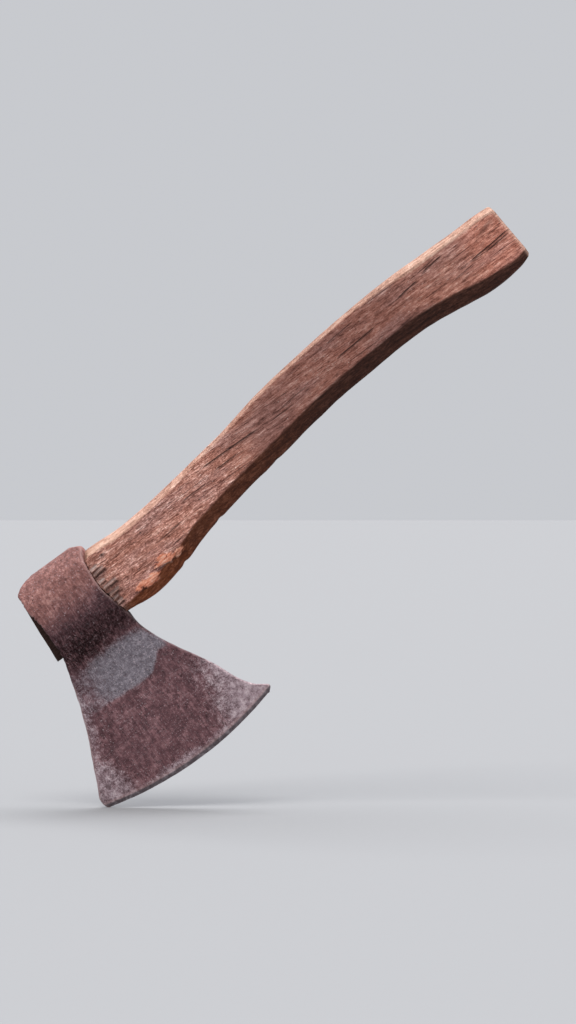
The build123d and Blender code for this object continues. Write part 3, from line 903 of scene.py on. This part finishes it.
def weathered_wood():
    """Grey-red-brown worn wood with fine straight grain, painted light on the pale back facet, a dark belly
    of grime and painted shade, and painted shade in cracks, notches and a hollow.
    """
    s = Shader("weathered_wood")
    broad = s.noise((45, 14, 14), 3, 0.55)
    grain = s.noise((42, 1.3, 1.3), 5, 0.62)
    fibres = s.noise((4.2, 0.34, 0.34), 3, 0.62)
    grit = s.noise((1.0, 0.75, 0.75), 4, 0.72)
    patches = s.noise((7.5, 3.2, 3.2), 4, 0.62)
    mix = mixed(s, mixed(s, grain, patches), mixed(s, fibres, grit))
    brown = s.ramp(
        mix,
        [
            (0.40, (0.115, 0.037, 0.024)),
            (0.46, (0.320, 0.120, 0.082)),
            (0.53, (0.525, 0.236, 0.174)),
            (0.62, (0.88, 0.58, 0.47)),
        ],
    )
    grey = s.ramp(
        mix,
        [
            (0.40, (0.100, 0.039, 0.030)),
            (0.46, (0.270, 0.114, 0.088)),
            (0.53, (0.455, 0.220, 0.175)),
            (0.62, (0.88, 0.56, 0.48)),
        ],
    )
    colour = s.blend(s.between(broad, 0.40, 0.62), brown, grey)
    colour = s.blend(s.math("MULTIPLY", s.mask("handled"), 0.80), colour, (0.60, 0.58, 0.61), "MULTIPLY")
    colour = s.blend(s.math("MULTIPLY", s.mask("cut_end"), 0.75), colour, (1.42, 1.32, 1.30), "MULTIPLY")
    powdery = s.ramp(
        mixed(s, grit, fibres),
        [
            (0.42, (0.78, 0.79, 0.80)),
            (0.50, (1.10, 1.12, 1.14)),
            (0.57, (1.5, 1.6, 1.68)),
        ],
    )
    colour = s.blend(s.mask("dry"), colour, s.blend(1.0, colour, powdery, "MULTIPLY"))
    pores = s.between(s.noise((5.0, 0.30, 0.30), 2, 0.5), 0.41, 0.31)
    colour = s.blend(s.math("MULTIPLY", pores, 0.6), colour, (0.045, 0.014, 0.010))
    hairline = s.between(s.noise((60, 0.9, 0.9), 2, 0.45), 0.688, 0.712)
    hairline = s.math("MULTIPLY", hairline, s.between(grit, 0.34, 0.44))
    colour = s.blend(s.math("MULTIPLY", hairline, 0.75), colour, (0.030, 0.010, 0.008))
    # Pale wood: painted light on the back facet; also used for the pale line along the butt's edge.
    pale = s.ramp(
        mix,
        [
            (0.38, (0.34, 0.17, 0.12)),
            (0.50, (0.68, 0.41, 0.31)),
            (0.62, (0.92, 0.68, 0.55)),
        ],
    )
    lit_back = s.math("MULTIPLY", s.mask("lit_back"), s.between(mixed(s, grain, grit), 0.36, 0.52, 0.5, 1.0))
    colour = s.blend(lit_back, colour, pale)
    # Dark belly: hand grime and painted shade.
    dark = s.ramp(
        mix,
        [
            (0.40, (0.010, 0.002, 0.001)),
            (0.50, (0.038, 0.009, 0.003)),
            (0.62, (0.115, 0.036, 0.018)),
        ],
    )
    colour = s.blend(s.math("MULTIPLY", s.mask("grime_and_shade"), 0.95), colour, dark)
    rust = s.ramp(
        mix,
        [
            (0.40, (0.070, 0.013, 0.003)),
            (0.50, (0.205, 0.050, 0.013)),
            (0.62, (0.50, 0.17, 0.08)),
        ],
    )
    colour = s.blend(s.math("MULTIPLY", s.mask("glow"), 0.8), colour, rust)
    bruise = s.ramp(
        mix,
        [
            (0.40, (0.05, 0.020, 0.015)),
            (0.50, (0.21, 0.10, 0.078)),
            (0.60, (0.60, 0.38, 0.31)),
        ],
    )
    colour = s.blend(s.math("MULTIPLY", s.mask("bruised"), 0.65), colour, bruise)
    torn = s.ramp(
        mix,
        [
            (0.40, (0.20, 0.12, 0.10)),
            (0.50, (0.52, 0.36, 0.32)),
            (0.60, (0.86, 0.70, 0.64)),
        ],
    )
    colour = s.blend(s.math("MULTIPLY", s.mask("splinter"), 0.9), colour, torn)
    orange = s.ramp(
        mix,
        [
            (0.40, (0.30, 0.07, 0.035)),
            (0.49, (0.74, 0.25, 0.145)),
            (0.60, (1.0, 0.64, 0.48)),
        ],
    )
    colour = s.blend(s.math("MULTIPLY", s.mask("fresh"), 0.95), colour, orange)
    # Painted shade in the shallow hollow by the butt.
    colour = s.blend(s.math("MULTIPLY", s.mask("hollow_shade"), 0.55), colour, (0.09, 0.045, 0.035))
    # Painted shade in the cracks, notches, knot hole and under the chips.
    colour = s.blend(s.mask("recess_shade"), colour, (0.014, 0.005, 0.004))
    specks = s.between(s.cells((2.6, 2.6, 2.6)), 0.13, 0.07)
    specks = s.math("MULTIPLY", specks, s.between(s.noise((11, 11, 11), 2), 0.50, 0.62, 0.0, 0.7))
    specks = s.math("MULTIPLY", specks, scaled(s, s.mask("grime_and_shade"), -1.0, 1.0))
    colour = s.blend(specks, colour, (0.78, 0.60, 0.54))
    rings = s.noise((4.0, 8.0, 0.8), 4, 0.6, 0.6)
    end = s.ramp(
        rings,
        [
            (0.35, (0.10, 0.045, 0.035)),
            (0.50, (0.27, 0.14, 0.11)),
            (0.65, (0.46, 0.28, 0.23)),
        ],
    )
    colour = s.blend(s.math("MULTIPLY", s.mask("end_grain"), 0.85), colour, end)
    colour = s.blend(s.math("MULTIPLY", s.mask("corner"), 0.75), colour, pale)
    # Near-black tenon: dark, dirty end wood, with painted shade for the gap between the rims and the wood.
    colour = s.blend(s.math("MULTIPLY", s.mask("tenon"), 0.90), colour, (0.020, 0.009, 0.006))
    s.put(s.surface.inputs["Base Color"], colour)
    s.put(s.surface.inputs["Roughness"], s.between(mix, 0.3, 0.7, 0.90, 0.66))
    s.surface.inputs["Specular IOR Level"].default_value = 0.22
    normal = s.bump(grain, 0.5)
    sunk = s.math("MAXIMUM", hairline, s.math("MULTIPLY", pores, 0.5))
    normal = s.bump(s.math("SUBTRACT", fibres, sunk), 0.36, normal)
    s.put(s.surface.inputs["Normal"], s.bump(grit, 0.34, normal))
    return s.material


def wedge_wood():
    """Dark dry end grain."""
    s = Shader("wedge_wood")
    grain = s.noise((2.5, 0.7, 0.7), 5, 0.6)
    grit = s.noise((0.6, 0.6, 0.6), 3, 0.6)
    colour = s.ramp(
        mixed(s, grain, grit),
        [
            (0.35, (0.018, 0.009, 0.006)),
            (0.52, (0.060, 0.033, 0.023)),
            (0.68, (0.15, 0.09, 0.07)),
        ],
    )
    s.put(s.surface.inputs["Base Color"], colour)
    s.put(s.surface.inputs["Roughness"], s.between(grit, 0.3, 0.7, 0.9, 0.7))
    s.put(s.surface.inputs["Normal"], s.bump(grain, 0.35))
    return s.material


def wedge_steel():
    """Brown rust with bright rubbed spots."""
    s = Shader("wedge_steel")
    rust = s.noise((1.8, 1.8, 1.8), 6, 0.65)
    fine = s.noise((0.5, 0.5, 0.5), 3, 0.6)
    colour = s.ramp(
        rust,
        [
            (0.35, (0.030, 0.012, 0.008)),
            (0.55, (0.095, 0.045, 0.030)),
            (0.72, (0.22, 0.16, 0.14)),
        ],
    )
    s.put(s.surface.inputs["Base Color"], colour)
    s.put(s.surface.inputs["Metallic"], s.between(rust, 0.5, 0.75, 0.1, 0.7))
    s.put(s.surface.inputs["Roughness"], s.between(fine, 0.3, 0.7, 0.5, 0.75))
    s.put(s.surface.inputs["Normal"], s.bump(mixed(s, rust, fine), 0.3))
    return s.material


# ---------------------------------------------------------------- stage


def pale_floor():
    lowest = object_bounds()[0][2]
    mesh = bpy.data.meshes.new("floor")
    around = [2 * math.pi * k / 64 for k in range(64)]
    rim = [(FLOOR_RADIUS * math.cos(a), FLOOR_RADIUS * math.sin(a), lowest) for a in around]
    mesh.from_pydata(rim, [], [range(len(rim))])
    floor = bpy.data.objects.new("floor", mesh)
    bpy.context.scene.collection.objects.link(floor)
    material = bpy.data.materials.new("floor")
    material.use_nodes = True
    surface = material.node_tree.nodes["Principled BSDF"]
    surface.inputs["Base Color"].default_value = (0.300, 0.305, 0.320, 1)
    surface.inputs["Roughness"].default_value = 0.9
    mesh.materials.append(material)


def soft_light(name, comes_from, softness_deg, strength, colour=(1, 1, 1)):
    light = bpy.data.lights.new(name, "SUN")
    light.angle = math.radians(softness_deg)
    light.energy = strength
    light.color = colour
    lamp = bpy.data.objects.new(name, light)
    lamp.rotation_euler = Vector(comes_from).to_track_quat("Z", "Y").to_euler()
    bpy.context.scene.collection.objects.link(lamp)


def studio():
    world = bpy.data.worlds.new("studio")
    world.use_nodes = True
    background = world.node_tree.nodes["Background"]
    background.inputs["Color"].default_value = (0.93, 0.95, 1.0, 1)
    background.inputs["Strength"].default_value = 0.62
    bpy.context.scene.world = world
    soft_light("key", (-0.35, -0.75, 1.55), 35, 2.2, (1.0, 0.97, 0.93))
    soft_light("top", (0.1, 0.45, 1.5), 40, 2.4)


def photo_camera():
    """Level, square to the blade, with a long lens."""
    camera = bpy.data.cameras.new("camera")
    camera.sensor_fit = "VERTICAL"
    camera.sensor_height = 36.0
    camera.lens = 100.0
    holder = bpy.data.objects.new("camera", camera)
    holder.location = (0.055, -1.735, 0.151)
    holder.rotation_euler = (math.pi / 2, 0, 0)
    bpy.context.scene.collection.objects.link(holder)
    bpy.context.scene.camera = holder


photo_camera()
studio()
pale_floor()
bpy.context.scene.view_settings.view_transform = "Standard"

vertices, quads = head_mesh()
vertices, masks = head_detail(vertices, quads)
add_piece("forged_head", vertices, quads.tolist(), masks, "axe_head", forged_steel())

vertices, quads, fans = closed_tube(handle_rings())
vertices, masks = handle_detail(vertices, quads)
faces = quads.tolist() + fans.tolist()
add_piece("carved_handle", vertices, faces, masks, "handle", weathered_wood())

for node, material in (("wooden_wedge", wedge_wood()), ("steel_wedge", wedge_steel())):
    shown = frame["nodes"][node].data
    shown.materials.clear()
    shown.materials.append(material)
